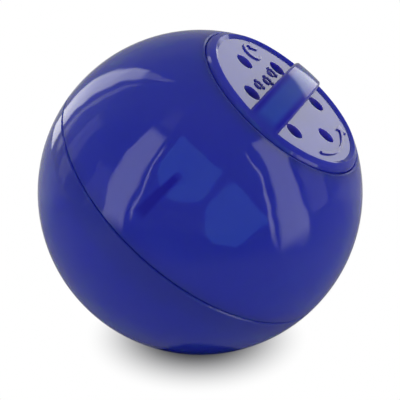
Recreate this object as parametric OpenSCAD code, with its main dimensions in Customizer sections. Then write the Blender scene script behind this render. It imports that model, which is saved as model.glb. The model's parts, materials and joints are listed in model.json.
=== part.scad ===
// Treat dispensing ball: two half shells that turn against each other, a shutter sleeve inside them,
// and a bayonet lid with a bar handle. All sizes are in millimetres.
// The origin is the ball's centre. The ball lies on its side: lie_angle tips the lid's axis
// from +Z towards +X, and the handle runs along Y. Each module is drawn with that axis upright,
// and lying() tips it over. Angles round the axis are counted from +X towards +Y.

/* [Ball] */
// Outside diameter of the ball
ball_d = 76; // [68:1:90]
// Thickness of the two half shells
wall = 2.2; // [1.9:0.1:2.6]
// Tilt of the lid's axis away from upright, as the ball lies
lie_angle = 38.67; // [0:0.01:50]

/* [Seam between the halves] */
// Width of the line between the two halves
seam_gap = 0.3; // [0.2:0.05:0.5]
// Width of the small bevel on each half's outer edge
seam_bevel = 0.25; // [0.1:0.05:0.4]
// Depth of the socket in the lower half that takes the upper half's skirt
lap_h = 4.6; // [4.2:0.1:6]
// Thickness of the lower half outside the socket, at the seam
socket_wall = 1.5; // [1.4:0.05:1.6]
// Thickness of the skirt
skirt_wall = 1.5; // [1.3:0.05:1.8]
// Radial clearance where pieces turn or slide in each other
run_gap = 0.1; // [0.06:0.01:0.1]
// End clearance between pieces that move past each other
end_gap = 0.2; // [0.15:0.05:0.3]
// Radius of the snap bead's round section
bead_r = 0.6; // [0.5:0.05:0.7]
// How far the snap bead stands out of the skirt
bead_out = 0.35; // [0.25:0.05:0.4]

/* [Windows] */
// Width of each window, and its height
window_w = 15.8; // [12:0.1:16.6]
// Angle of the windows' middle below the seam
window_dip = 27; // [26:0.5:32]
// Width of the strip between the two windows, on the ball's outside
window_strip = 2.4; // [2:0.1:5]
// Angle round the axis to the middle of the pair
window_az = 85.25; // [75:0.25:100]
// Radius of the windows' two upper corners
window_corner_r = 1.6; // [0.5:0.1:3]

/* [Shutter] */
// Thickness of the shutter sleeve
shutter_wall = 1.4; // [1.1:0.1:1.8]
// Gap between the sleeve and the lower half
shutter_gap = 0.3; // [0.25:0.05:0.5]
// Height of the sleeve below the seam
shutter_h = 27; // [26.5:0.5:29]

/* [Ribs] */
// Thickness of the three ribs inside the upper half
rib_t = 1.6; // [1.2:0.1:2.4]
// Height of the ribs above the seam
rib_h = 16.8; // [12:0.1:18]
// How far the ribs stand in from the wall at the seam
rib_deep = 3.4; // [3:0.1:4.5]
// Width of the foot that keys the shutter
foot_w = 3.6; // [3:0.1:5]
// Length of the foot below the seam
foot_drop = 2.6; // [2:0.1:3]

/* [Lid] */
// Diameter of the lid
lid_d = 42.4; // [40:0.1:44]
// Gap round the lid
lid_gap = 0.3; // [0.2:0.05:0.5]
// Width of the rim between the lid's edge and the brow of the pockets
rim_w = 1.55; // [1.3:0.05:2.2]
// Depth of the pocket floors below the brow
pocket_deep = 0.62; // [0.4:0.02:1]
// How far the pockets' outer wall leans in on its way down to the floor
pocket_lean = 0.95; // [0.5:0.05:1.2]
// Width of the bevel on the lid's outer edge and on the port's edge
edge_bevel = 0.35; // [0.1:0.05:0.4]
// Height of the lid's outer edge
lid_edge_h = 1.6; // [1.2:0.1:2]
// Width of the bar handle
handle_w = 7.6; // [6:0.1:8]
// Radius of the handle's top edges
handle_r = 1.1; // [0.4:0.1:1.6]
// Thickness of the handle's walls round its hollow underside
handle_wall = 1.6; // [1.2:0.1:2]
// Diameter of the six holes
hole_d = 4.3; // [2:0.1:4.3]
// Radius of the circle that the six holes lie on
hole_ring_r = 12.15; // [12.1:0.05:13]

/* [Lid lock] */
// Width of the ledge that the seal lies on, from the lid's edge to the port's bore
ledge_w = 2.3; // [1.9:0.1:2.6]
// Thickness of the plug that goes into the port
plug_wall = 1.6; // [1.3:0.1:2]
// Height of the collar round the port's bore, below the seal
collar_h = 4.8; // [4:0.1:6]
// Thickness of the collar at the bayonet slots
collar_wall = 2.2; // [1.8:0.1:2.6]
// How far the lugs stand out of the plug
lug_out = 1.3; // [1:0.1:1.5]
// Height of the lugs
lug_h = 1.6; // [1.2:0.1:2.2]
// Angle that each lug spans
lug_span = 22; // [18:1:26]
// Turn of the lid from released to locked
lock_angle = 50; // [44:1:54]
// Thickness of the seal under the lid
seal_t = 1.2; // [1:0.1:1.6]

/* [Hidden] */
$fn = 120;

// One overrun for every cut
over = 1;
blue = [0.16, 0.18, 0.55, 0.85];
deep_blue = [0.12, 0.15, 0.5, 0.85];
teal = [0.15, 0.35, 0.6, 0.85];
dark = [0.1, 0.1, 0.3];

// Ball and seam
ball_r = ball_d / 2;
inner_r = ball_r - wall;
half_gap = seam_gap / 2;
socket_r = ball_r - socket_wall;
skirt_r = socket_r - run_gap;
skirt_in_r = skirt_r - skirt_wall;
skirt_low = lap_h - end_gap;
bead_ring_r = skirt_r + bead_out - bead_r;
bead_z = -(half_gap + skirt_low) / 2;
// Height above the seam where the skirt's band dies into the half's inner face
band_top = 2 * skirt_wall;
// Middle of the wall, where pieces of one moulding are joined
weld_r = inner_r + wall / 2;

// Angle round the axis from one window to the next, as the strip between them asks
window_pitch = 2 * asin((window_w + window_strip) / (2 * ball_r * cos(window_dip)));
// Turn of the upper half: one pitch shuts the first window and two shut both
turn_angle = 2 * window_pitch;

// Stop tooth under the skirt, in its pocket in the lower half
tooth_h = 1.1;
tooth_span = 8;
tooth_az = 215;
tooth_slack = 0.5;
tooth_r = skirt_r - run_gap;

// Shutter sleeve, and the ring on it that stands inside the skirt
sleeve_r = inner_r - shutter_gap;
sleeve_in_r = sleeve_r - shutter_wall;
sleeve_top = lap_h + tooth_h + end_gap;
ring_r = skirt_in_r - run_gap;
ring_in_r = ring_r - shutter_wall;
ring_top = half_gap;

// Ribs: the two that show and the one on the far side
rib_azs = [-99.5, 35.5, 148];
foot_top = foot_w;
foot_in_r = ring_in_r;

// Lid
lid_r = lid_d / 2;
recess_r = lid_r + lid_gap;
port_r = lid_r - ledge_w;
brow_r = lid_r - rim_w;
brow_z = sqrt(ball_r * ball_r - brow_r * brow_r);
pocket_r = brow_r - pocket_lean;
lid_edge_z = sqrt(ball_r * ball_r - lid_r * lid_r);
lid_low = lid_edge_z - lid_edge_h;
floor_z = brow_z - pocket_deep;
hole_n = 6;
seal_gap = end_gap / 4;
seal_top = lid_low - seal_gap;
ledge_z = seal_top - seal_t - seal_gap;
collar_low = ledge_z - collar_h;
plug_r = port_r - run_gap;
plug_in_r = plug_r - plug_wall;
plug_low = collar_low - end_gap - lug_h;
lug_r = plug_r + lug_out;
slot_r = lug_r + run_gap;
collar_r = slot_r + collar_wall;
slot_slack = 1.5;
lug_n = 3;
lug_az = 30;
stop_span = 5;

// Tips the upright ball over to the way it lies
module lying() {
  rotate([0, lie_angle, 0])
    children();
}

// Ring with a plain rectangular section, between two heights
module ring(r_out, r_in, low, high) {
  translate([0, 0, low])
    difference() {
      cylinder(r = r_out, h = high - low);
      translate([0, 0, -over])
        cylinder(r = r_in, h = high - low + 2 * over);
    }
}

// Part of such a ring: it starts at one angle and spans another
module arc_block(r_out, r_in, low, high, start, span) {
  rotate([0, 0, start])
    rotate_extrude(angle = span)
      translate([r_in, low])
        square([r_out - r_in, high - low]);
}

// Everything above a height, or below it
module above(z) {
  translate([-ball_d, -ball_d, z])
    cube([2 * ball_d, 2 * ball_d, 2 * ball_d]);
}

module below(z) {
  translate([-ball_d, -ball_d, z - 2 * ball_d])
    cube([2 * ball_d, 2 * ball_d, 2 * ball_d]);
}

// Hollow ball between two radii
module hollow_ball(r_out, r_in) {
  difference() {
    sphere(r = r_out);
    sphere(r = r_in);
  }
}

// Shield outline of a window: straight top with small corners, round bottom
module shield() {
  half_w = window_w / 2;
  circle(r = half_w);
  translate([-half_w, 0])
    square([window_w, half_w - window_corner_r]);
  translate([window_corner_r - half_w, 0])
    square([window_w - 2 * window_corner_r, half_w]);
  for (side = [-1, 1])
    translate([side * (half_w - window_corner_r), half_w - window_corner_r])
      circle(r = window_corner_r);
}

// The two windows, cut straight out along their own radius
module windows() {
  for (side = [-1, 1])
    rotate([0, 0, window_az + side * window_pitch / 2])
      rotate([0, window_dip, 0])
        translate([ball_r / 2, 0, 0])
          rotate([90, 0, 90])
            linear_extrude(height = ball_r)
              shield();
}

// Bevel on a half's outer edge at the seam, for the half above it
module seam_bevel_cut() {
  edge_r = ball_r + over;
  rotate_extrude()
    polygon([
      [ball_r - seam_bevel, half_gap],
      [edge_r, half_gap + seam_bevel + over],
      [edge_r, half_gap - over],
      [ball_r - seam_bevel, half_gap - over]
    ]);
}

// Bevel where the ball's surface meets an upright wall: side is 1 for a port's edge, -1 for a lid's
module edge_bevel_cut(edge_r, side) {
  edge_z = sqrt(ball_r * ball_r - edge_r * edge_r);
  start_r = edge_r + side * edge_bevel;
  start_z = sqrt(ball_r * ball_r - start_r * start_r);
  rise = start_z - edge_z + edge_bevel;
  rotate_extrude()
    polygon([
      [start_r + side * edge_bevel, start_z + rise],
      [edge_r - side * edge_bevel, edge_z - edge_bevel - rise],
      [edge_r - side * edge_bevel, start_z + rise + over]
    ]);
}

// Snap bead, and the groove it turns in when grown by the running clearance
module bead(grow) {
  rotate_extrude()
    translate([bead_ring_r, bead_z])
      circle(r = bead_r + grow);
}

// Slim rib on the inner face of the upper half, straight on its inner side, with its foot
module rib(az) {
  rib_in_r = inner_r - rib_deep;
  tip_r = sqrt(inner_r * inner_r - rib_h * rib_h);
  rotate([0, 0, az]) {
    intersection() {
      sphere(r = weld_r);
      translate([0, rib_t / 2, 0])
        rotate([90, 0, 0])
          linear_extrude(height = rib_t)
            polygon([
              [rib_in_r, half_gap],
              [ball_r, half_gap],
              [ball_r, rib_h],
              [tip_r, rib_h]
            ]);
    }
    translate([foot_in_r, -foot_w / 2, -foot_drop])
      cube([skirt_r - skirt_wall / 2 - foot_in_r, foot_w, foot_drop + foot_top]);
  }
}

// Skirt under the upper half, with the band that joins it to the bowl's inner face
module skirt() {
  rotate_extrude()
    polygon([
      [skirt_in_r, -skirt_low],
      [skirt_r, -skirt_low],
      [skirt_r, half_gap],
      [weld_r, half_gap],
      [weld_r, band_top],
      [inner_r, band_top],
      [skirt_in_r, half_gap]
    ]);
}

// Lower half: a bowl with the socket, the bead's groove, the stop's pocket and two windows
module lower_shell() {
  color(deep_blue)
    lying()
      difference() {
        intersection() {
          hollow_ball(ball_r, inner_r);
          below(-half_gap);
        }
        translate([0, 0, -lap_h])
          cylinder(r = socket_r, h = lap_h + over);
        bead(run_gap);
        arc_block(
          tooth_r + run_gap, skirt_in_r, -(lap_h + tooth_h), -half_gap,
          tooth_az - tooth_slack, tooth_span + turn_angle + 2 * tooth_slack
        );
        mirror([0, 0, 1])
          seam_bevel_cut();
        windows();
      }
}

// Upper half: a bowl with the port and its collar, the skirt, the bead, the ribs and the stop tooth
module upper_shell() {
  color(blue)
    lying() {
      difference() {
        union() {
          intersection() {
            hollow_ball(ball_r, inner_r);
            above(half_gap);
          }
          // Collar round the port
          intersection() {
            sphere(r = ball_r);
            translate([0, 0, collar_low])
              cylinder(r = collar_r, h = ball_r);
          }
          skirt();
          bead(0);
          for (az = rib_azs)
            rib(az);
          arc_block(
            tooth_r, skirt_in_r + run_gap, -(lap_h + tooth_h - end_gap), -skirt_low + tooth_h,
            tooth_az, tooth_span
          );
          // Stops that end the lid's turn
          for (i = [0 : lug_n - 1])
            arc_block(
              collar_r - run_gap, port_r - run_gap, plug_low, collar_low + lug_h,
              lug_az + i * 360 / lug_n + lug_span + lock_angle + slot_slack, stop_span
            );
        }
        // Port: recess for the lid and bore for its plug
        translate([0, 0, ledge_z])
          cylinder(r = recess_r, h = ball_r);
        translate([0, 0, plug_low - over])
          cylinder(r = port_r, h = ball_r);
        // Slots that let the lugs in
        for (i = [0 : lug_n - 1])
          arc_block(
            slot_r, port_r - over, collar_low - over, ledge_z + over,
            lug_az + i * 360 / lug_n - slot_slack, lug_span + 2 * slot_slack
          );
        seam_bevel_cut();
        edge_bevel_cut(recess_r, 1);
      }
    }
}

// Shutter: sleeve with two windows, and a notched ring that the ribs' feet turn
module shutter() {
  color(teal)
    lying()
      difference() {
        union() {
          intersection() {
            hollow_ball(sleeve_r, sleeve_in_r);
            below(-sleeve_top);
            above(-shutter_h);
          }
          ring(ring_r, ring_in_r, -(sleeve_top + shutter_wall), ring_top);
        }
        windows();
        for (az = rib_azs)
          rotate([0, 0, az])
            translate([ring_in_r - over, -foot_w / 2 - run_gap, -foot_drop - end_gap])
              cube([shutter_wall + 2 * over, foot_w + 2 * run_gap, foot_drop + end_gap + over]);
      }
}

// Seal: flat ring between the lid's flange and the port's ledge
module lid_seal() {
  color(dark)
    lying()
      ring(lid_r, plug_r + run_gap, ledge_z + seal_gap, seal_top);
}

// The two D-shaped pockets beside the handle, wider at the brow than at the floor
module pockets() {
  difference() {
    translate([0, 0, floor_z])
      cylinder(r1 = pocket_r, r2 = pocket_r + pocket_lean * ball_r / pocket_deep, h = ball_r);
    handle_bar();
  }
}

// Bar handle: a disc across the lid with rounded edges, so its top arches as the ball does
module handle_bar() {
  rotate([0, 90, 0])
    rotate_extrude() {
      translate([0, -handle_w / 2])
        square([ball_r - handle_r, handle_w]);
      translate([0, handle_r - handle_w / 2])
        square([ball_r, handle_w - 2 * handle_r]);
      for (side = [-1, 1])
        translate([ball_r - handle_r, side * (handle_w / 2 - handle_r)])
          circle(r = handle_r);
    }
}

// Hollow under the handle
module handle_core() {
  core_w = handle_w - 2 * handle_wall;
  intersection() {
    translate([-core_w / 2, -pocket_r, 0])
      cube([core_w, 2 * pocket_r, ball_r]);
    sphere(r = ball_r - handle_wall);
    cylinder(r = plug_in_r, h = ball_r);
  }
}

// Lid: cap with handle and pockets, plug and bayonet lugs
module lid() {
  color(blue)
    lying()
      difference() {
        union() {
          intersection() {
            sphere(r = ball_r);
            translate([0, 0, lid_low])
              cylinder(r = lid_r, h = ball_r);
          }
          ring(plug_r, plug_in_r, plug_low, lid_low + over / 2);
          for (i = [0 : lug_n - 1])
            arc_block(
              lug_r, plug_r - plug_wall / 2, plug_low, plug_low + lug_h,
              lug_az + i * 360 / lug_n, lug_span
            );
        }
        pockets();
        edge_bevel_cut(lid_r, -1);
        handle_core();
        for (i = [0 : hole_n - 1])
          rotate([0, 0, i * 360 / hole_n])
            translate([hole_ring_r, 0, lid_low - over])
              cylinder(d = hole_d, h = ball_r);
      }
}

lower_shell();
upper_shell();
shutter();
lid_seal();
lid();
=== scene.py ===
# %% [markdown]
# # A treat dispensing ball in clear blue plastic
#
# The ball is two thin half shells of tinted plastic, a shutter sleeve inside them and a lid with
# a bar handle. The solids come ready made from the construction model. They could be modelled
# again here, but their shapes are right already, so they only get a finish. This lesson makes the
# camera, the studio, the plastics, and the small raised marks on the lid.

# %% Load the construction model
import json
import math

import bmesh
import bpy
from mathutils import Matrix, Vector


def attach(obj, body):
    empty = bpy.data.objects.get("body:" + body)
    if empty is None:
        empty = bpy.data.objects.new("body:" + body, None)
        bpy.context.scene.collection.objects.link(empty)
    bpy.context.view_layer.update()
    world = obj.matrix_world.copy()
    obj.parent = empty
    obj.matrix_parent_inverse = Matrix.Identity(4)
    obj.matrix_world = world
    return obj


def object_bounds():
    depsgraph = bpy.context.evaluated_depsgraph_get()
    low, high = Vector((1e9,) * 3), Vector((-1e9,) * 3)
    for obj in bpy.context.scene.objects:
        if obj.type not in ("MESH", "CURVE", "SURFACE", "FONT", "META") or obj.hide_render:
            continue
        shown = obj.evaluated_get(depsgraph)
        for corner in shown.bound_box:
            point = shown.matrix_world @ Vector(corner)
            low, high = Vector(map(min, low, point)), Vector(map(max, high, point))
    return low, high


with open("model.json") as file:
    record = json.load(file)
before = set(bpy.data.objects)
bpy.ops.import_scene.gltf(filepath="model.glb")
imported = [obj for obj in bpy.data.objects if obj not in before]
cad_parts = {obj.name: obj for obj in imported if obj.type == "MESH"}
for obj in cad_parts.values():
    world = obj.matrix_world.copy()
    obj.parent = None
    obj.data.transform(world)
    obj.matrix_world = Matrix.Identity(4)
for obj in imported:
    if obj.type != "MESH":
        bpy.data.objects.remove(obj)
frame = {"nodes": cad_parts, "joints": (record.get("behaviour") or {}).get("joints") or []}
cad_low, cad_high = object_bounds()
print("construction model", [round(x, 4) for x in cad_low], [round(x, 4) for x in cad_high])

# %% [markdown]
# ## Sizes that the rest is built on
#
# Everything is in metres, with the ball's centre at the origin. The lid's axis is read from the
# joint that turns the halves, so a change there carries through. `across` points from the handle
# to the middle of one finger pocket, and `along` runs down the handle. `lid_tilt` tips something
# made upright over to where the lid is. Lengths are shares of the ball's radius, so the looks grow
# and shrink with the ball.

# %% Ball radius and the lid's three directions
ball_r = cad_high[2]
floor_z = -ball_r
turning = {joint["name"]: joint for joint in frame["joints"]}["halves_turn"]
lid_axis = Vector(turning["axis"]).normalized()
along = Vector((0.0, 1.0, 0.0))
across = along.cross(lid_axis).normalized()
lid_tilt = Matrix((across, along, lid_axis)).transposed().to_4x4()
print("ball radius", round(ball_r, 4), "lid axis", [round(x, 3) for x in lid_axis])

# %% [markdown]
# ## The camera
#
# The photograph was taken through a long lens from a little above. A camera can be placed by eye,
# but this one is built from angles and a distance, because those could be fitted to the ball's
# outline, its seam and the oval of the lid. The photograph was cropped, and the ball sits slightly
# above its middle, so the camera looks straight at the ball's centre and its sensor is shifted.

# %% Camera
camera_turn = math.radians(18.62)
camera_rise = math.radians(21.75)
camera_distance = 6.225 * ball_r
camera_lens = 89.9
camera_shift = (-0.0004, -0.0193)

towards_camera = Vector((
    math.sin(camera_turn) * math.cos(camera_rise),
    -math.cos(camera_turn) * math.cos(camera_rise),
    math.sin(camera_rise),
))
camera_data = bpy.data.cameras.new("camera")
camera_data.lens = camera_lens
camera_data.shift_x, camera_data.shift_y = camera_shift
camera_data.clip_start, camera_data.clip_end = 0.01, 20.0
camera = bpy.data.objects.new("camera", camera_data)
bpy.context.scene.collection.objects.link(camera)
camera.location = towards_camera * camera_distance
camera.rotation_euler = (-towards_camera).to_track_quat("-Z", "Y").to_euler()
bpy.context.scene.camera = camera
print("camera", round(camera_distance, 3), "m from the ball, lens", camera_lens, "mm")

# %% [markdown]
# ## Two level directions
#
# Lamps, table and shadow are placed in a photographer's words: so far to the camera's right, and
# so far in front of the ball. Both directions lie level, whatever the camera's rise.

# %% The camera's right and front
camera_right = Vector((math.cos(camera_turn), math.sin(camera_turn), 0.0))
camera_front = Vector((math.sin(camera_turn), -math.cos(camera_turn), 0.0))
print("right", [round(x, 3) for x in camera_right], "front", [round(x, 3) for x in camera_front])

# %% [markdown]
# ## Small helpers for shader nodes
#
# A material is a tree of nodes. By hand, one adds a node, types its values and drags links from
# socket to socket. In code that takes many lines, so each step gets a helper: `new_node` makes a
# node and sets its plain properties, `join` links two sockets, and `feed` gives a socket either a
# value or a link, whichever it is handed.

# %% Node helpers
def new_node(tree, kind, place=(0, 0), **settings):
    node = tree.nodes.new(kind)
    node.location = place
    for name, value in settings.items():
        setattr(node, name, value)
    return node


def join(tree, source, target):
    tree.links.new(source, target)


def feed(tree, value, target):
    """Links an output, types in anything else, and leaves the socket alone for None"""
    if isinstance(value, bpy.types.NodeSocket):
        join(tree, value, target)
    elif value is not None:
        target.default_value = value


def empty_material(name):
    material = bpy.data.materials.new(name)
    material.use_nodes = True
    material.node_tree.nodes.clear()
    return material, material.node_tree


print("helpers", [made.__name__ for made in (new_node, join, feed, empty_material)])

# %% [markdown]
# ## Sums, soft steps and mixes
#
# Most trees here come down to three moves: a sum, a step that rises smoothly from 0 to 1, and a mix
# of two colours or two numbers by such a step. `along_direction` measures how far a point of a
# piece lies along a direction, which is how patterns are placed without any image or UV map.

# %% Helpers that work things out
def math_node(tree, operation, place, first, second=None):
    node = new_node(tree, "ShaderNodeMath", place, operation=operation)
    for socket, value in zip(node.inputs, (first, second)):
        feed(tree, value, socket)
    return node.outputs[0]


def soft_step(tree, value, low, high, place):
    """0 below low and 1 above high, smooth between; turned round where low is the larger"""
    step = new_node(tree, "ShaderNodeMapRange", place, interpolation_type="SMOOTHSTEP")
    step.inputs["From Min"].default_value = min(low, high)
    step.inputs["From Max"].default_value = max(low, high)
    if low > high:
        step.inputs["To Min"].default_value = 1.0
        step.inputs["To Max"].default_value = 0.0
    join(tree, value, step.inputs["Value"])
    return step.outputs["Result"]


def mix_node(tree, share, first, second, place, data_type="RGBA"):
    """first where share is 0, second where it is 1"""
    node = new_node(tree, "ShaderNodeMix", place, data_type=data_type)
    for name, value in (("Factor", share), ("A", first), ("B", second)):
        feed(tree, value, node.inputs[name])
    return node.outputs["Result"]


def along_direction(tree, direction, place):
    """How far a point lies along a direction, in metres"""
    x, y = place
    spot = new_node(tree, "ShaderNodeTexCoord", (x - 400, y))
    far = new_node(tree, "ShaderNodeVectorMath", (x - 200, y), operation="DOT_PRODUCT")
    far.inputs[1].default_value = direction
    join(tree, spot.outputs["Object"], far.inputs[0])
    return far.outputs["Value"]


print("helpers", [made.__name__ for made in (math_node, soft_step, mix_node, along_direction)])

# %% [markdown]
# ## Kinds of ray
#
# A ray from the camera asks the floor and the room for their colour, and so does a mirror ray off
# the plastic. The Light Path node tells the two apart. That lets the picture have a pure white
# background while the polished ball still mirrors a greyer studio, and it adds no light.

# %% Rays that see plainly, and rays off a mirror
def ray_kinds(tree, place):
    """Masks of camera rays, with those through clear plastic, and of mirror rays"""
    x, y = place
    path = new_node(tree, "ShaderNodeLightPath", place)
    through = path.outputs["Is Transmission Ray"]
    plain = math_node(tree, "MAXIMUM", (x + 180, y), path.outputs["Is Camera Ray"], through)
    mirror = math_node(
        tree, "SUBTRACT", (x + 180, y - 160), path.outputs["Is Glossy Ray"], through
    )
    return plain, math_node(tree, "MAXIMUM", (x + 340, y - 160), mirror, 0.0)


def grey(tone):
    return (tone, tone, tone, 1.0)


white = grey(1.0)
print("white", white)

# %% [markdown]
# ## Floor
#
# The ball stands on a white table that clips to pure white in the picture, with a soft grey shadow
# under the ball. A plain plane is enough for it, and it isn't part of the object. Its material does
# the rest, in the next three cells.

# %% Floor plane
floor_size = 26 * ball_r

bpy.ops.object.select_all(action="DESELECT")
bpy.ops.mesh.primitive_plane_add(size=floor_size, location=(0, 0, floor_z))
floor = bpy.context.object
floor.name = "floor"
print("floor", round(floor_size, 3), "m across")

# %% [markdown]
# ### The table that the ball mirrors
#
# The photograph's ball mirrors a mid grey table that is paler behind the ball and ends in front,
# where it is darkest. Real card and black cloth could be laid out for this. A tone that only mirror
# rays find does the same and leaves the white floor alone.

# %% Tone of the mirrored table
table_front, table_fade = 3.0 * ball_r, 1.2 * ball_r
far_table, near_table = -2.6 * ball_r, -0.8 * ball_r
table_grey, far_grey, beyond_grey = grey(0.32), grey(0.50), grey(0.17)

floor_material, tree = empty_material("white_floor")
towards = along_direction(tree, camera_front, (-900, 200))
near = soft_step(tree, towards, far_table, near_table, (-760, 60))
on_table = soft_step(
    tree, towards, table_front + table_fade / 2, table_front - table_fade / 2, (-760, 260)
)
table_tone = mix_node(tree, near, far_grey, table_grey, (-600, 60))
table_tone = mix_node(tree, on_table, beyond_grey, table_tone, (-480, 200))
print("table mirrored up to", round(table_front, 3), "m in front of the ball")

# %% [markdown]
# ### The painted contact shadow
#
# Right under a ball almost no light reaches the table, and the polished ball mirrors that patch as
# a dark lens at its foot. That shadow is painted into the table's tone for mirror rays, as a dark
# oval, longer towards the camera than to the sides. A point lies inside it where the two distances,
# each divided by the oval's own half length and squared, come to less than 1.

# %% Oval of painted deep shadow for mirror rays
contact_wide, contact_long, contact_ahead = 0.30 * ball_r, 0.56 * ball_r, 0.10 * ball_r
contact_soft = 0.15
# Painted shadow: inside the oval the table's tone for mirror rays is near black
painted_contact_shadow = grey(0.02)

sideways = along_direction(tree, camera_right, (-900, -150))
wide = math_node(tree, "DIVIDE", (-740, -150), sideways, contact_wide)
wide = math_node(tree, "MULTIPLY", (-600, -150), wide, wide)
long = math_node(tree, "SUBTRACT", (-820, -300), towards, contact_ahead)
long = math_node(tree, "DIVIDE", (-740, -300), long, contact_long)
long = math_node(tree, "MULTIPLY", (-600, -300), long, long)
oval = math_node(tree, "ADD", (-520, -200), wide, long)
outside = soft_step(tree, oval, 1 - contact_soft, 1 + contact_soft, (-440, -200))
mirrored_tone = mix_node(tree, outside, painted_contact_shadow, table_tone, (-340, -60))
print("contact oval", round(contact_wide, 4), "by", round(contact_long, 4), "m, half sizes")

# %% [markdown]
# ### Shadow and white
#
# Close to the ball the camera sees card that takes the real shadow. A short way out the card fades
# into a plain glowing white. A white card alone would need more light on the ball to clip, and that
# would wash its blue out. The shadow's middle lies a little to the camera's left.

# %% Card, white and their fade
shadow_core, shadow_reach = 0.20 * ball_r, 0.74 * ball_r
shadow_middle = camera_right * (-0.02 * ball_r)
card_white, card_seen = grey(0.86), grey(0.14)

plainly, mirror = ray_kinds(tree, (-1100, -500))
card_tone = mix_node(tree, mirror, card_white, mirrored_tone, (-340, 130))
card_tone = mix_node(tree, plainly, card_tone, card_seen, (-180, 130))
card = new_node(tree, "ShaderNodeBsdfDiffuse", (-20, 100))
join(tree, card_tone, card.inputs["Color"])
plain = new_node(tree, "ShaderNodeEmission", (-20, -50))
plain.inputs["Color"].default_value = white

spot = new_node(tree, "ShaderNodeTexCoord", (-1100, 400))
distance = new_node(tree, "ShaderNodeVectorMath", (-900, 400), operation="DISTANCE")
distance.inputs[1].default_value = shadow_middle
join(tree, spot.outputs["Object"], distance.inputs[0])
faded = soft_step(tree, distance.outputs["Value"], shadow_core, shadow_reach, (-700, 400))
bare = math_node(tree, "MULTIPLY", (-500, 400), faded, plainly)

mixed = new_node(tree, "ShaderNodeMixShader", (160, 100))
out = new_node(tree, "ShaderNodeOutputMaterial", (340, 100))
join(tree, bare, mixed.inputs["Fac"])
join(tree, card.outputs[0], mixed.inputs[1])
join(tree, plain.outputs[0], mixed.inputs[2])
join(tree, mixed.outputs[0], out.inputs["Surface"])
floor.data.materials.append(floor_material)
print("shadow fades out", round(shadow_reach, 3), "m from the ball's foot")

# %% [markdown]
# ## The room and its panels
#
# Polished plastic shows the room that it stands in. This room is dim, with eight pale panels round
# it. The rear ones draw the crescent on the ball's shoulder and whiten the flat floors of the lid's
# pockets, and the side ones draw faint patches near the outline. Lamps could stand there, but a
# panel painted on the world by compass bearing and height is quick, and can lean and fade at will.
# A bearing is counted from the camera's side, positive to its right. A panel that leans has a
# bearing that changes with height.

# %% Panels: bearing at the horizon, lean, half width, lowest and highest edge, strength
panels = {
    "rear_left": (-144.5, 0.10, 6.0, -8.0, 50.0, 2.0),
    "rear_left_edge": (-130.5, 0.10, 2.0, 0.0, 52.0, 0.6),
    "rear_left_top": (-138.0, 0.0, 4.0, 50.0, 70.0, 0.7),
    "rear_right": (143.0, 0.0, 15.0, -2.0, 24.0, 1.65),
    "side_left": (-75.0, 0.0, 8.0, -8.0, 22.0, 0.25),
    "side_left_far": (-110.0, 0.1, 6.0, -4.0, 34.0, 0.3),
    "side_right": (86.0, 0.0, 8.0, -8.0, 16.0, 0.4),
    "above": (-47.0, 0.0, 12.0, 62.0, 74.0, 0.18),
}
print("panels", list(panels))

# %% [markdown]
# ### Bearing and height of a direction
#
# The world's tree gets a direction and has to answer with a brightness. The direction is first
# turned so that bearing 0 is the camera's side, and two angles are taken from it.

# %% World tree
bpy.context.scene.view_settings.view_transform = "Standard"
world = bpy.data.worlds.new("studio")
bpy.context.scene.world = world
world.use_nodes = True
tree = world.node_tree
tree.nodes.clear()

spot = new_node(tree, "ShaderNodeTexCoord", (-1700, 0))
turned = new_node(tree, "ShaderNodeVectorRotate", (-1500, 0), rotation_type="Z_AXIS")
turned.inputs["Angle"].default_value = math.pi / 2 - camera_turn
parts = new_node(tree, "ShaderNodeSeparateXYZ", (-1300, 0))
join(tree, spot.outputs["Generated"], turned.inputs["Vector"])
join(tree, turned.outputs["Vector"], parts.inputs["Vector"])
bearing = math_node(tree, "ARCTAN2", (-1100, 100), parts.outputs["Y"], parts.outputs["X"])
height = math_node(tree, "ARCSINE", (-1100, -100), parts.outputs["Z"])
print("world", world.name, "bearing 0 lies", round(math.degrees(camera_turn), 2), "degrees round")

# %% [markdown]
# ### Painting the panels
#
# A panel is the product of three soft steps: near enough to its middle, above its foot and below
# its head. The panels' brightnesses are added up.

# %% Light of all panels
degree = math.pi / 180
side_soft, end_soft = 1.5 * degree, 3 * degree
lights = None
for count, (name, settings) in enumerate(panels.items()):
    row = 600 - 260 * count
    middle, lean, half, lowest, highest, strength = settings
    middle, half, lowest, highest = (angle * degree for angle in (middle, half, lowest, highest))
    slid = math_node(tree, "MULTIPLY", (-900, row), height, lean)
    off = math_node(tree, "SUBTRACT", (-740, row), bearing, slid)
    off = math_node(tree, "SUBTRACT", (-580, row), off, middle)
    off = math_node(tree, "ABSOLUTE", (-420, row), off)
    beside = soft_step(tree, off, half + side_soft, half - side_soft, (-260, row))
    above = soft_step(tree, height, lowest - end_soft, lowest + end_soft, (-260, row - 60))
    below = soft_step(tree, height, highest + end_soft, highest - end_soft, (-260, row - 120))
    mask = math_node(tree, "MULTIPLY", (-80, row), beside, above)
    mask = math_node(tree, "MULTIPLY", (80, row), mask, below)
    lit = math_node(tree, "MULTIPLY", (240, row), mask, strength)
    lights = lit if lights is None else math_node(tree, "ADD", (400, row), lights, lit)
    print("panel", name, "strength", strength)

# %% [markdown]
# ### The room between the panels
#
# The photograph's ball is a little paler where it mirrors the wall behind it and the ceiling. Both
# are soft steps again, in bearing and in height, added to the room's own dim level.

# %% Walls and ceiling
room_light, behind_light, ceiling_light = 0.20, 0.14, 0.10
behind_from, behind_full = 80 * degree, 130 * degree
haze_gone, haze_full = 70 * degree, 30 * degree
ceiling_from, ceiling_full = 35 * degree, 75 * degree
row = -1480

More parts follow.
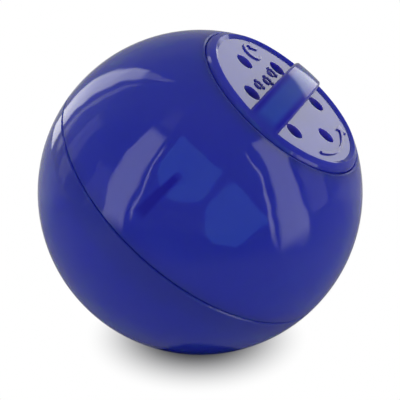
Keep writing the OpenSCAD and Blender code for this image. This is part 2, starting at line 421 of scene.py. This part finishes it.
behind = math_node(tree, "ABSOLUTE", (-420, row - 100), bearing)
behind = soft_step(tree, behind, behind_from, behind_full, (-260, row - 100))
haze = soft_step(tree, height, haze_gone, haze_full, (-260, row))
haze = math_node(tree, "MULTIPLY", (-80, row), haze, behind)
haze = math_node(tree, "MULTIPLY", (80, row), haze, behind_light)
ceiling = soft_step(tree, height, ceiling_from, ceiling_full, (-260, row - 300))
ceiling = math_node(tree, "MULTIPLY", (-80, row - 300), ceiling, ceiling_light)
room = math_node(tree, "ADD", (240, row), haze, room_light)
room = math_node(tree, "ADD", (400, row), room, ceiling)
print("room", room_light, "behind", behind_light, "more, ceiling", ceiling_light, "more")

# %% [markdown]
# ### What each ray finds in the room
#
# Mirror rays find the dim room with its panels. All other bounced rays find the panels and an even
# fill, which lights the ball from every side at a plain level. The camera, and rays that go through
# the clear plastic, find white.

# %% World output
fill_light = 0.72

mirrored = math_node(tree, "ADD", (560, 0), lights, room)
shed = math_node(tree, "ADD", (560, -200), lights, fill_light)
plainly, mirror = ray_kinds(tree, (200, 500))
found = mix_node(tree, mirror, shed, mirrored, (740, 0), "FLOAT")
found = mix_node(tree, plainly, found, 1.0, (900, 0), "FLOAT")
background = new_node(tree, "ShaderNodeBackground", (1060, 0))
background.inputs["Color"].default_value = white
out = new_node(tree, "ShaderNodeOutputWorld", (1240, 0))
join(tree, found, background.inputs["Strength"])
join(tree, background.outputs[0], out.inputs["Surface"])
print("world done,", len(tree.nodes), "nodes")

# %% [markdown]
# ## Lamps in front
#
# Two tall softboxes stand in front, left and right of the camera, and draw the two long pale
# streaks. Beside each the photograph has a thin bright line, which a strip lamp draws. These are
# real area lamps, because they are near the ball and its streaks bend as near lamps' do. A lamp is
# given by its foot and its head, each so far right, in front and high, and it faces the ball.

# %% A lamp between two points
def softbox(name, foot, head, width, brightness):
    """An area lamp from foot to head; points and width in ball radii"""
    low_end, high_end = (
        (camera_right * right + camera_front * front + Vector((0, 0, high))) * ball_r
        for right, front, high in (foot, head)
    )
    tall = (high_end - low_end).normalized()
    middle = (low_end + high_end) / 2
    backward = (middle - tall * middle.dot(tall)).normalized()
    sideways = tall.cross(backward)
    turn = Matrix((sideways, tall, backward)).transposed().to_4x4()
    data = bpy.data.lights.new(name, "AREA")
    data.shape = "RECTANGLE"
    data.size, data.size_y = width * ball_r, (high_end - low_end).length
    data.energy = brightness * math.pi * data.size * data.size_y
    lamp = bpy.data.objects.new(name, data)
    bpy.context.scene.collection.objects.link(lamp)
    lamp.matrix_world = Matrix.Translation(middle) @ turn
    lamp.visible_camera = False
    return lamp


print("helper", softbox.__name__)

# %% [markdown]
# ### Soft edges
#
# The cloth over a studio lamp glows less towards its edges, so the streaks have soft borders. A
# lamp has a node tree of its own: Parametric tells how far across and up the lamp a point is, from
# 0 to 1, and a soft step on each turns the strength down near the edges.

# %% Glow that falls off towards the edges
def soften_edges(lamp, soft_wide, soft_tall):
    """soft_wide and soft_tall are the fading shares of the lamp's width and height"""
    lamp.data.use_nodes = True
    tree = lamp.data.node_tree
    over = new_node(tree, "ShaderNodeNewGeometry", (-900, 0))
    parts = new_node(tree, "ShaderNodeSeparateXYZ", (-700, 0))
    join(tree, over.outputs["Parametric"], parts.inputs["Vector"])
    edges = []
    for row, (axis, soft) in enumerate((("X", soft_wide), ("Y", soft_tall))):
        off = math_node(tree, "SUBTRACT", (-520, -160 * row), parts.outputs[axis], 0.5)
        off = math_node(tree, "ABSOLUTE", (-360, -160 * row), off)
        edges.append(soft_step(tree, off, 0.5, 0.5 - soft, (-200, -160 * row)))
    share = math_node(tree, "MULTIPLY", (-40, 0), *edges)
    join(tree, share, tree.nodes["Emission"].inputs["Strength"])


print("helper", soften_edges.__name__)

# %% [markdown]
# ### The four lamps
#
# Their ends were found by following mirror rays from the ends of each streak in the photograph.
# The strips fade over most of their width, so their lines have no hard edge.

# %% Four lamps: foot, head, width, brightness, fading share of the width
soft_height = 0.14
front_lamps = {
    "front_left": ((-4.9, 3.3, -0.90), (-2.45, 2.72, 5.37), 1.75, 1.75, 0.13),
    "front_right": ((2.36, 1.68, -0.99), (2.92, 2.24, 4.2), 1.2, 1.7, 0.13),
    "front_left_strip": ((-3.96, 4.23, -0.11), (-2.24, 3.77, 4.85), 0.20, 2.2, 0.45),
    "front_right_strip": ((1.86, 2.08, -0.73), (2.38, 3.25, 3.82), 0.16, 2.2, 0.45),
}
for name, (foot, head, width, brightness, soft_width) in front_lamps.items():
    lamp = softbox(name, foot, head, width, brightness)
    soften_edges(lamp, soft_width, soft_height)
    print(name, round(lamp.data.size, 3), "by", round(lamp.data.size_y, 3), "m")

# %% [markdown]
# ## A moulded skin
#
# A moulding is never quite even. The wall's thickness wanders, so its colour deepens and pales in
# soft clouds, the polished skin is very slightly wavy, and handling leaves fine scuffs that dull
# the gloss in places. Each could be built again in every material. As one node group with named
# inputs they are built once, and each finish sets its own values. First come the three effects.

# %% Clouds, scuffs and waves
cloud_low, cloud_high = 0.3, 0.7
scuff_from, scuff_full = 0.5, 0.75
scuff_relief = 0.02


def noise(group, spot, scale, row, detail, **values):
    texture = new_node(group, "ShaderNodeTexNoise", (-800, row), noise_dimensions="3D")
    texture.inputs["Detail"].default_value = detail
    for name, value in values.items():
        texture.inputs[name].default_value = value
    join(group, spot.outputs["Object"], texture.inputs["Vector"])
    join(group, scale, texture.inputs["Scale"])
    return texture.outputs["Fac"]


def dye_clouds(group, given, spot):
    """The colour, deeper in soft clouds"""
    clouds = noise(group, spot, given.outputs["Cloud scale"], 300, 2.5, Distortion=0.6)
    spread = new_node(group, "ShaderNodeMapRange", (-600, 300))
    spread.inputs["From Min"].default_value = cloud_low
    spread.inputs["From Max"].default_value = cloud_high
    join(group, clouds, spread.inputs["Value"])
    depth = math_node(
        group, "MULTIPLY", (-400, 300), spread.outputs["Result"], given.outputs["Cloud depth"]
    )
    return mix_node(
        group, depth, given.outputs["Colour"], given.outputs["Deep colour"], (-200, 300)
    )


def fine_scuffs(group, given, spot):
    """Where the skin is scuffed: fine noise, kept only where it is high"""
    grain = noise(group, spot, given.outputs["Scuff scale"], 0, 4.0, Roughness=0.7)
    picked = soft_step(group, grain, scuff_from, scuff_full, (-600, 0))
    return math_node(group, "MULTIPLY", (-400, 0), picked, given.outputs["Scuff share"])


def slow_waves(group, given, spot, scuffs):
    """Height of the skin: slow waves with a trace of the scuffs"""
    waves = noise(group, spot, given.outputs["Wave scale"], -300, 1.8)
    trace = math_node(group, "MULTIPLY", (-400, -200), scuffs, scuff_relief)
    return math_node(group, "ADD", (-200, -300), waves, trace)


print("effects", [made.__name__ for made in (dye_clouds, fine_scuffs, slow_waves)])

# %% [markdown]
# ### The group
#
# The group puts out only what changes over the surface: a colour, a roughness and a height. The
# shader itself stays in each material.

# %% Group of moulded plastic effects
skin_defaults = {
    "Cloud scale": 40.0,
    "Cloud depth": 0.5,
    "Gloss": 0.04,
    "Scuffed": 0.14,
    "Scuff scale": 320.0,
    "Scuff share": 0.2,
    "Wave scale": 70.0,
}

moulded_skin = bpy.data.node_groups.new("moulded_skin", "ShaderNodeTree")
sockets = moulded_skin.interface
for name in ("Colour", "Deep colour"):
    sockets.new_socket(name=name, in_out="INPUT", socket_type="NodeSocketColor")
for name, value in skin_defaults.items():
    socket = sockets.new_socket(name=name, in_out="INPUT", socket_type="NodeSocketFloat")
    socket.default_value = value
sockets.new_socket(name="Colour", in_out="OUTPUT", socket_type="NodeSocketColor")
sockets.new_socket(name="Roughness", in_out="OUTPUT", socket_type="NodeSocketFloat")
sockets.new_socket(name="Height", in_out="OUTPUT", socket_type="NodeSocketFloat")

given = new_node(moulded_skin, "NodeGroupInput", (-1100, 0))
spot = new_node(moulded_skin, "ShaderNodeTexCoord", (-1100, 300))
result = new_node(moulded_skin, "NodeGroupOutput", (700, 0))
scuffs = fine_scuffs(moulded_skin, given, spot)
dull = mix_node(
    moulded_skin, scuffs, given.outputs["Gloss"], given.outputs["Scuffed"], (-200, 0), "FLOAT"
)
join(moulded_skin, dye_clouds(moulded_skin, given, spot), result.inputs["Colour"])
join(moulded_skin, dull, result.inputs["Roughness"])
join(moulded_skin, slow_waves(moulded_skin, given, spot, scuffs), result.inputs["Height"])
print("group", moulded_skin.name, [item.name for item in moulded_skin.interface.items_tree])

# %% [markdown]
# ## Painted shade and painted light
#
# Tinted plastic reads deeper where it is thick and little light comes through, and paler where it
# is thin or where light gets in. Here that shade and light are painted into the colour. Such places
# could be painted by hand. Here each is a mask worked out from distances, so it is exact and moves
# with its piece. The first is painted shade on the upper half: a dark, slightly tapered bar
# wherever one of the three ribs backs the wall.

# %% Ribs: bearings round the lid's axis, ends, half width, soft edges and taper
rib_angles = [math.radians(angle) for angle in (-99.5, 35.5, 148.0)]
rib_bar_low, rib_bar_top, rib_bar_half = 0.15 * ball_r, 0.475 * ball_r, 0.028 * ball_r
rib_low_soft, rib_top_soft, rib_side_soft = 0.06 * ball_r, 0.05 * ball_r, 0.012 * ball_r
rib_low_width, rib_top_width = 1.2, 0.7
rib_facing = 0.5 * ball_r


def within(tree, value, half, soft, place):
    """1 within half of zero, with a soft edge"""
    size = math_node(tree, "ABSOLUTE", place, value)
    return soft_step(tree, size, half + soft, half - soft, (place[0] + 160, place[1]))


print("ribs at", [round(math.degrees(angle), 1) for angle in rib_angles], "degrees")

# %% [markdown]
# ### The bars of painted shade
#
# Each rib stands in a plane through the lid's axis, so its bar is what lies near that plane. The
# ends of all three are the same two heights on the axis.

# %% Painted shade bars over the ribs
def rib_shade_bars(tree):
    high = along_direction(tree, lid_axis, (-1500, 1400))
    low_end = soft_step(tree, high, rib_bar_low, rib_bar_low + rib_low_soft, (-1300, 1400))
    top_end = soft_step(tree, high, rib_bar_top, rib_bar_top - rib_top_soft, (-1300, 1500))
    ends = math_node(tree, "MULTIPLY", (-1100, 1400), low_end, top_end)
    taper = new_node(tree, "ShaderNodeMapRange", (-1300, 1600))
    for name, value in (
        ("From Min", rib_bar_low),
        ("From Max", rib_bar_top),
        ("To Min", rib_low_width),
        ("To Max", rib_top_width),
    ):
        taper.inputs[name].default_value = value
    join(tree, high, taper.inputs["Value"])
    bars = None
    for count, angle in enumerate(rib_angles):
        row = 1200 - 300 * count
        out = across * math.cos(angle) + along * math.sin(angle)
        side = along_direction(tree, lid_axis.cross(out), (-1500, row))
        side = math_node(tree, "DIVIDE", (-1400, row), side, taper.outputs["Result"])
        bar = within(tree, side, rib_bar_half, rib_side_soft, (-1300, row))
        # A plane cuts the ball on both sides, so only the rib's own side is kept
        facing = along_direction(tree, out, (-1500, row - 150))
        facing = math_node(tree, "GREATER_THAN", (-1300, row - 150), facing, rib_facing)
        bar = math_node(tree, "MULTIPLY", (-900, row), bar, facing)
        bars = bar if bars is None else math_node(tree, "MAXIMUM", (-740, row), bars, bar)
    return math_node(tree, "MULTIPLY", (-580, 1200), bars, ends)


print("bars from", round(rib_bar_low, 4), "to", round(rib_bar_top, 4), "m up the lid's axis")

# %% [markdown]
# ### The handle
#
# The bar is hollow underneath. Its thin top lets light through and looks teal, between two thick
# edges that look deep blue. That light and shade are painted into the colour: painted light on a
# narrow strip along the middle, laid over painted shade on a wide strip along the bar.

# %% Painted shade on the handle's thick edges and painted light on its thin middle
handle_half, handle_long = 0.104 * ball_r, 0.50 * ball_r
handle_side_soft, handle_end_soft = 0.004 * ball_r, 0.04 * ball_r
hollow_half, hollow_long = 0.058 * ball_r, 0.50 * ball_r
hollow_side_soft, hollow_end_soft = 0.018 * ball_r, 0.05 * ball_r


def strip_along_bar(tree, half, long, side_soft, end_soft, row):
    side = along_direction(tree, across, (-1500, row))
    length = along_direction(tree, along, (-1500, row - 200))
    strip = within(tree, side, half, side_soft, (-1300, row))
    ends = within(tree, length, long, end_soft, (-1300, row - 200))
    return math_node(tree, "MULTIPLY", (-900, row - 100), strip, ends)


def handle_shade_strip(tree):
    return strip_along_bar(
        tree, handle_half, handle_long, handle_side_soft, handle_end_soft, 1400
    )


def handle_light_strip(tree):
    return strip_along_bar(
        tree, hollow_half, hollow_long, hollow_side_soft, hollow_end_soft, 1000
    )


print("handle", round(2 * handle_half, 4), "m wide, hollow", round(2 * hollow_half, 4), "m")

# %% [markdown]
# ### Round places
#
# The port and the lid's holes are round when they are seen down the lid's axis. So a point's height
# on the axis is taken away first, and what is left is measured from a centre. `one_mm` is a
# millimetre of the construction model, whose ball has a radius of 38 mm.

# %% The view down the lid's axis
one_mm = ball_r / 38


def seen_along_axis(tree, high, place):
    """The point with its height on the lid's axis taken away"""
    x, y = place
    spot = new_node(tree, "ShaderNodeTexCoord", (x - 600, y))
    raised = new_node(tree, "ShaderNodeVectorMath", (x - 200, y - 200), operation="SCALE")
    raised.inputs["Vector"].default_value = lid_axis
    join(tree, high, raised.inputs["Scale"])
    flat = new_node(tree, "ShaderNodeVectorMath", place, operation="SUBTRACT")
    join(tree, spot.outputs["Object"], flat.inputs[0])
    join(tree, raised.outputs["Vector"], flat.inputs[1])
    return flat.outputs["Vector"]


print("one millimetre of the model is", round(one_mm, 6), "m")

# %% [markdown]
# ### The bevel of the port
#
# The narrow bevel round the port is duller than the polished shell. As polished as the shell, it
# would mirror a rear panel in a bright sickle that the photograph doesn't have. Only the roughness
# changes here, so the bevel keeps the colour of the wall.

# %% Dull bevel
port_edge_r, port_edge_soft = 22.1 * one_mm, 0.005 * ball_r
port_edge_low, port_edge_high = 0.70 * ball_r, 0.72 * ball_r


def port_edge(tree):
    high = along_direction(tree, lid_axis, (-1900, -1100))
    out = new_node(tree, "ShaderNodeVectorMath", (-1300, -900), operation="LENGTH")
    join(tree, seen_along_axis(tree, high, (-1500, -900)), out.inputs[0])
    inside = soft_step(
        tree, out.outputs["Value"], port_edge_r, port_edge_r - port_edge_soft, (-1100, -900)
    )
    upper = soft_step(tree, high, port_edge_low, port_edge_high, (-1100, -1100))
    return math_node(tree, "MULTIPLY", (-900, -900), inside, upper)


print("port bevel within", round(port_edge_r, 4), "m of the lid's axis")

# %% [markdown]
# ### Painted light on the walls of the holes
#
# Light comes into the lid's six small holes from both ends, so their walls get a paler colour than
# the lid: painted light.
# The nearest of six centres decides whether a point is on such a wall.

# %% Painted light on the hole walls
hole_count, hole_ring_r, hole_r = 6, 12.15 * one_mm, 2.15 * one_mm
hole_rim_near, hole_rim_far = 0.001 * ball_r, 0.003 * ball_r


def lit_hole_walls(tree):
    high = along_direction(tree, lid_axis, (-1900, 400))
    flat = seen_along_axis(tree, high, (-1500, 600))
    nearest = None
    for count in range(hole_count):
        row = 600 - 140 * count
        angle = 2 * math.pi * count / hole_count
        middle = (across * math.cos(angle) + along * math.sin(angle)) * hole_ring_r
        gap = new_node(tree, "ShaderNodeVectorMath", (-1300, row), operation="DISTANCE")
        gap.inputs[1].default_value = middle
        join(tree, flat, gap.inputs[0])
        gap = gap.outputs["Value"]
        if nearest is not None:
            gap = math_node(tree, "MINIMUM", (-1100, row), nearest, gap)
        nearest = gap
    return soft_step(tree, nearest, hole_r + hole_rim_far, hole_r + hole_rim_near, (-900, 0))


print(hole_count, "holes on a ring of radius", round(hole_ring_r, 4), "m")

# %% [markdown]
# ## Clear tinted plastic
#
# The shells are polypropylene with a strong blue dye: some light goes through, some is scattered by
# the dye, and the skin is polished. Transmission alone would leave the shell dark, because nothing
# in it would send light back, and an opaque plastic would hide the windows at the far side. So the
# shader is part transmission and part scattering inside the wall, and a volume tints what comes
# through towards teal.

# %% What every clear finish shares
plastic_ior = 1.49
skin_waves = 0.00048
scatter_scale, scatter_radius = 0.008, (0.3, 0.3, 1.0)
through_colour, through_density = (0.64, 1.0, 0.11, 1.0), 900.0


def lay_over(tree, here, places, data_type, row):
    """Lays each place's colour or roughness over what is there; the colours are painted shade and
    painted light
    """
    for count, (mask_of, value) in enumerate(places):
        at = (-260, row + 200 * count)
        here = mix_node(tree, mask_of(tree), here, value, at, data_type)
    return here


print("light through the wall keeps", through_colour[:3], "of its red, green and blue")

# %% [markdown]
# ### One function for all finishes
#
# A finish is given its two colours, how clear it is, its special places, and any value of the
# group that differs from the usual. Scattering and the tint inside are only for clear plastics.

# %% Material of a tinted plastic
def tinted_plastic(
    name, colour, deep_colour, clearness, places=(), dull_places=(), waves=skin_waves, **values
):
    material, tree = empty_material(name)
    effects = new_node(tree, "ShaderNodeGroup", (-500, 0), node_tree=moulded_skin)
    effects.inputs["Colour"].default_value = colour
    effects.inputs["Deep colour"].default_value = deep_colour
    for socket, value in values.items():
        effects.inputs[socket.replace("_", " ").capitalize()].default_value = value
    bump = new_node(tree, "ShaderNodeBump", (-250, -200))
    bump.inputs["Distance"].default_value = waves
    bump.inputs["Strength"].default_value = 1.0
    join(tree, effects.outputs["Height"], bump.inputs["Height"])
    skin = new_node(tree, "ShaderNodeBsdfPrincipled", (0, 0))
    skin.inputs["IOR"].default_value = plastic_ior
    skin.inputs["Transmission Weight"].default_value = clearness
    toned = lay_over(tree, effects.outputs["Colour"], places, "RGBA", 260)
    dulled = lay_over(tree, effects.outputs["Roughness"], dull_places, "FLOAT", -500)
    join(tree, toned, skin.inputs["Base Color"])
    join(tree, dulled, skin.inputs["Roughness"])
    join(tree, bump.outputs["Normal"], skin.inputs["Normal"])
    out = new_node(tree, "ShaderNodeOutputMaterial", (300, 0))
    join(tree, skin.outputs[0], out.inputs["Surface"])
    if clearness > 0:
        skin.inputs["Subsurface Weight"].default_value = 1.0
        skin.inputs["Subsurface Radius"].default_value = scatter_radius
        skin.inputs["Subsurface Scale"].default_value = scatter_scale
        inside = new_node(tree, "ShaderNodeVolumeAbsorption", (0, -500))
        inside.inputs["Color"].default_value = through_colour
        inside.inputs["Density"].default_value = through_density
        join(tree, inside.outputs[0], out.inputs["Volume"])
    print("material", name, "with", len(tree.nodes), "nodes")
    return material


print("helper", tinted_plastic.__name__)

# %% [markdown]
# ## Finishes of the shells
#
# Both halves are the clearest plastic of the ball. The upper half has painted shade over the ribs
# behind it and the dull bevel round its port, so it gets a finish of its own. The shutter is the
# same plastic, less clear and a little duller, since it is hidden and rubs against the shell.

# %% Shells and shutter
shell_blue, shell_deep = (0.036, 0.060, 0.97, 1.0), (0.026, 0.041, 0.84, 1.0)
shutter_blue, shutter_deep = (0.046, 0.075, 0.95, 1.0), (0.036, 0.056, 0.86, 1.0)
# Painted shade: a darker blue laid on the upper shell over each rib behind the wall
rib_shade_blue = (0.013, 0.014, 0.66, 1.0)
port_edge_dull = 0.38
shell_clear, shutter_clear = 0.6, 0.4

shell_plastic = tinted_plastic("shell_plastic", shell_blue, shell_deep, shell_clear)
rib_shaded_plastic = tinted_plastic(
    "rib_shaded_plastic",
    shell_blue,
    shell_deep,
    shell_clear,
    places=[(rib_shade_bars, rib_shade_blue)],
    dull_places=[(port_edge, port_edge_dull)],
)
shutter_plastic = tinted_plastic(
    "shutter_plastic", shutter_blue, shutter_deep, shutter_clear, gloss=0.07
)

# %% [markdown]
# ## Finishes of the lid
#
# The lid is a thicker moulding than the shells, so it is less clear, with smaller clouds and a
# flatter skin. Its handle carries painted shade and painted light, and the walls of its holes
# painted light. Its raised marks get a paler colour, painted light for the light that they catch on
# every side. The seal under its flange is deep blue silicone without any shine.

# %% Lid, marks and seal
lid_blue, lid_deep = (0.034, 0.050, 0.62, 1.0), (0.026, 0.036, 0.52, 1.0)
# Painted shade on the handle's thick edges and painted light on its thin middle
handle_edge_shade, handle_light_through = (0.014, 0.012, 0.50, 1.0), (0.036, 0.10, 0.74, 1.0)
# Painted light on the walls of the lid's holes
hole_painted_light = (0.14, 0.115, 1.0, 1.0)
# The marks' paler blues are painted light
mark_lit_blue, mark_lit_deep = (0.085, 0.078, 0.95, 1.0), (0.060, 0.055, 0.85, 1.0)
silicone, silicone_pale = (0.020, 0.024, 0.20, 1.0), (0.028, 0.032, 0.26, 1.0)
lid_clear, seal_clear = 0.5, 0.0
lid_waves = 0.0001
lid_places = [(handle_shade_strip, handle_edge_shade), (handle_light_strip, handle_light_through), (lit_hole_walls, hole_painted_light)]

lid_plastic = tinted_plastic(
    "lid_plastic",
    lid_blue,
    lid_deep,
    lid_clear,
    places=lid_places,
    waves=lid_waves,
    cloud_scale=70.0,
)
lit_mark_plastic = tinted_plastic("lit_mark_plastic", mark_lit_blue, mark_lit_deep, lid_clear, waves=lid_waves)
seal_silicone = tinted_plastic(
    "seal_silicone",
    silicone,
    silicone_pale,
    seal_clear,
    gloss=0.45,
    scuffed=0.7,
    scuff_share=0.6,
    cloud_scale=300.0,
)

# %% [markdown]
# ## Handing the finishes out
#
# The solids of the construction model keep their meshes and their places. A finish goes into the
# first material slot of each.

# %% Finishes of the five pieces
finishes = {
    "lower_shell": shell_plastic,
    "upper_shell": rib_shaded_plastic,
    "shutter": shutter_plastic,
    "lid": lid_plastic,
    "lid_seal": seal_silicone,
}
for node_name, finish in finishes.items():
    node = frame["nodes"][node_name]
    node.data.materials.clear()
    node.data.materials.append(finish)
    print("finish", node_name, finish.name)

# %% [markdown]
# ## Raised marks on the pocket floors
#
# The moulding carries small raised marks on the two pocket floors: an arrow along the rim for the
# way the lid turns, a round arrow for the halves, and a trail of paw prints along the handle. They
# could be drawn as a bump in the material, but then they would be missing from the mesh. They are
# modelled flat, with the lid's axis upright, and tipped over with it at the end. For that the
# height of the pocket floor is measured on the lid itself.

# %% Where the pocket floor lies
band_inner, band_outer, band_above = 0.475 * ball_r, 0.5 * ball_r, 0.8 * ball_r

lid_points = [lid_tilt.inverted() @ v.co for v in frame["nodes"]["lid"].data.vertices]
floor_band = [
    p.z for p in lid_points if band_inner < p.xy.length < band_outer and p.z > band_above
]
pocket_floor = min(floor_band)
print("pocket floor", round(pocket_floor * 1000, 2), "mm up,", len(floor_band), "points")

# %% [markdown]
# ### Working as by hand
#
# An operator acts on whatever is selected and active, so each step starts from a clean selection.
# A modifier is applied at once, as the next step works on its result. `open_edges` counts the edges
# that don't have a face on each side: a closed mesh has none.

# %% Helpers for modelling
def start_fresh():
    if bpy.context.object and bpy.context.object.mode != "OBJECT":
        bpy.ops.object.mode_set(mode="OBJECT")
    bpy.ops.object.select_all(action="DESELECT")


def pick_only(piece):
    start_fresh()
    bpy.context.view_layer.objects.active = piece
    piece.select_set(True)


def use_modifier(piece, kind, **settings):
    pick_only(piece)
    modifier = piece.modifiers.new(kind.title(), kind)
    for name, value in settings.items():
        setattr(modifier, name, value)
    bpy.ops.object.modifier_apply(modifier=modifier.name)


def open_edges(piece):
    shape = bmesh.new()
    shape.from_mesh(piece.data)
    count = sum(1 for edge in shape.edges if len(edge.link_faces) != 2)
    shape.free()
    return count


print("helpers", [made.__name__ for made in (start_fresh, pick_only, use_modifier, open_edges)])

# %% [markdown]
# ### From a flat mark to a part of the lid
#
# Moulded marks have rounded edges, because plastic doesn't fill a mould's corners sharply. They
# could be rounded by hand in edit mode, but a Bevel modifier finds every sharp edge by its angle.
# The mark is then tipped over, and its place goes into its mesh.

# %% Finishing a mark
mark_rounding = 0.0082 * ball_r
smooth_below = math.radians(35)


def finish_mark(piece, name):
    """Rounds a mark's edges, tips it over with the lid, and lets it ride on the lid"""
    use_modifier(piece, "BEVEL", width=mark_rounding, segments=4, limit_method="ANGLE")
    pick_only(piece)
    piece.matrix_world = lid_tilt @ piece.matrix_world
    bpy.ops.object.transform_apply(location=True, rotation=True, scale=True)
    bpy.ops.object.shade_smooth_by_angle(angle=smooth_below)
    piece.name = name
    piece.data.materials.clear()
    # The marks' paler finish is painted light
    piece.data.materials.append(lit_mark_plastic)
    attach(piece, "lid")
    print(name, len(piece.data.polygons), "faces", open_edges(piece), "open edges")


print("edges rounded by", round(mark_rounding * 1000, 2), "mm")

# %% [markdown]
# ### An arrow bent round a centre
#
# The shaft starts as a small standing rectangle that Spin sweeps round the centre. The head is a
# three-sided prism at its end. A Boolean modifier fuses the two, because a shaft that only pokes
# into its head would leave faces inside. The foot of a mark goes a little below the pocket floor,
# so no gap shows under it.

# %% Shaft and head
mark_height, mark_root = 0.0085 * ball_r, 0.012 * ball_r
mark_tall = mark_height + mark_root


def on_circle(angle, radius):
    return Vector((math.cos(angle), math.sin(angle), 0)) * radius


def bent_bar(centre, radius, start, span, width):
    start_fresh()
    bpy.ops.mesh.primitive_plane_add(
        size=1, location=centre + on_circle(start, radius), rotation=(math.pi / 2, 0, start)
    )
    bar = bpy.context.object
    bar.scale = (width, mark_tall, 1)
    bpy.ops.object.transform_apply(location=True, rotation=True, scale=True)
    bpy.ops.object.mode_set(mode="EDIT")
    bpy.ops.mesh.select_all(action="SELECT")
    # A step about every 5 degrees and a few more, so that a short shaft bends smoothly too
    steps = int(8 + math.degrees(abs(span)) / 5)
    # The tool turns clockwise round this axis, so the angle's sign is swapped
    bpy.ops.mesh.spin(steps=steps, angle=-span, center=centre, axis=(0, 0, 1))
    bpy.ops.mesh.select_all(action="SELECT")
    bpy.ops.mesh.remove_doubles(threshold=1e-6)
    bpy.ops.mesh.normals_make_consistent(inside=False)
    bpy.ops.object.mode_set(mode="OBJECT")
    return bar


def arrow_head(centre, radius, tip, facing, size):
    start_fresh()
    bpy.ops.mesh.primitive_cylinder_add(
        vertices=3,
        radius=size,
        depth=mark_tall,
        location=centre + on_circle(tip, radius),
        rotation=(0, 0, facing),
    )
    bpy.ops.object.transform_apply(location=True, rotation=True, scale=True)
    return bpy.context.object


print("marks stand", round(mark_height * 1000, 2), "mm above the pocket floor")

# %% [markdown]
# ### The two arrows
#
# Angles run from `across` towards `along`, seen down the lid's axis. A negative span bends the
# arrow clockwise, and its head then faces the other way.

# %% Rim arrow and round arrow
def bent_arrow(name, centre, radius, start, span, width, head):
    centre = Vector((*centre, pocket_floor - mark_root + mark_tall / 2))
    tip = start + span
    bar = bent_bar(centre, radius, start, span, width)
    point = arrow_head(centre, radius, tip, tip if span > 0 else tip + math.pi, head)
    print("shaft", open_edges(bar), "head", open_edges(point), "open edges")
    use_modifier(bar, "BOOLEAN", operation="UNION", object=point, solver="EXACT")
    bpy.data.objects.remove(point, do_unlink=True)
    finish_mark(bar, name)


arrow_width = 0.020 * ball_r
bent_arrow(
    "lid_turn_arrow",
    centre=(0, 0),
    radius=0.432 * ball_r,
    start=-0.62,
    span=1.16,
    width=arrow_width,
    head=0.046 * ball_r,
)
bent_arrow(
    "halves_turn_arrow",
    centre=(-0.337 * ball_r, 0.199 * ball_r),
    radius=0.060 * ball_r,
    start=0.4,
    span=-4.7,
    width=arrow_width,
    head=0.042 * ball_r,
)

# %% [markdown]
# ### One paw print
#
# A print is a broad pad and four toes. Each is a sphere squashed to a low dome and half sunk in the
# pocket floor, which rounds it off by itself. Two toes are listed, and the other two mirror them.

# %% Pad and toes: ahead, aside, half width and half length, in ball radii
pads = [(0.0, 0.0, 0.028, 0.022), (0.040, -0.031, 0.0115, 0.015), (0.050, -0.0105, 0.0115, 0.015)]
pads += [(ahead, -aside, wide, long) for ahead, aside, wide, long in pads[1:]]
dome_height = 1.2 * mark_height

paw_parts = []
for ahead, aside, wide, long in pads:
    start_fresh()
    bpy.ops.mesh.primitive_uv_sphere_add(
        segments=24,
        ring_count=12,
        radius=1,
        location=(aside * ball_r, ahead * ball_r, pocket_floor),
    )
    pad = bpy.context.object
    pad.scale = (wide * ball_r, long * ball_r, dome_height)
    bpy.ops.object.transform_apply(location=False, rotation=False, scale=True)
    paw_parts.append(pad)
for pad in paw_parts:
    pad.select_set(True)
bpy.context.view_layer.objects.active = paw_parts[0]
bpy.ops.object.join()
first_paw = bpy.context.object
bpy.ops.object.transform_apply(location=True, rotation=True, scale=True)
print("paw print of", len(pads), "domes,", round(dome_height * 1000, 2), "mm high")

# %% [markdown]
# ### The trail
#
# The print is modelled once and copied, each copy with its own mesh, because its place goes into
# its mesh when it is finished. The prints swing a little from side to side, as a trail does.

# %% Three copies
paw_places = ((-0.165, -0.15), (-0.148, -0.01), (-0.165, 0.13))
for count, (x, y) in enumerate(paw_places):
    paw = first_paw.copy()
    paw.data = first_paw.data.copy()
    bpy.context.scene.collection.objects.link(paw)
    paw.location = (x * ball_r, y * ball_r, 0)
    finish_mark(paw, f"paw_print_{count + 1}")
bpy.data.objects.remove(first_paw, do_unlink=True)
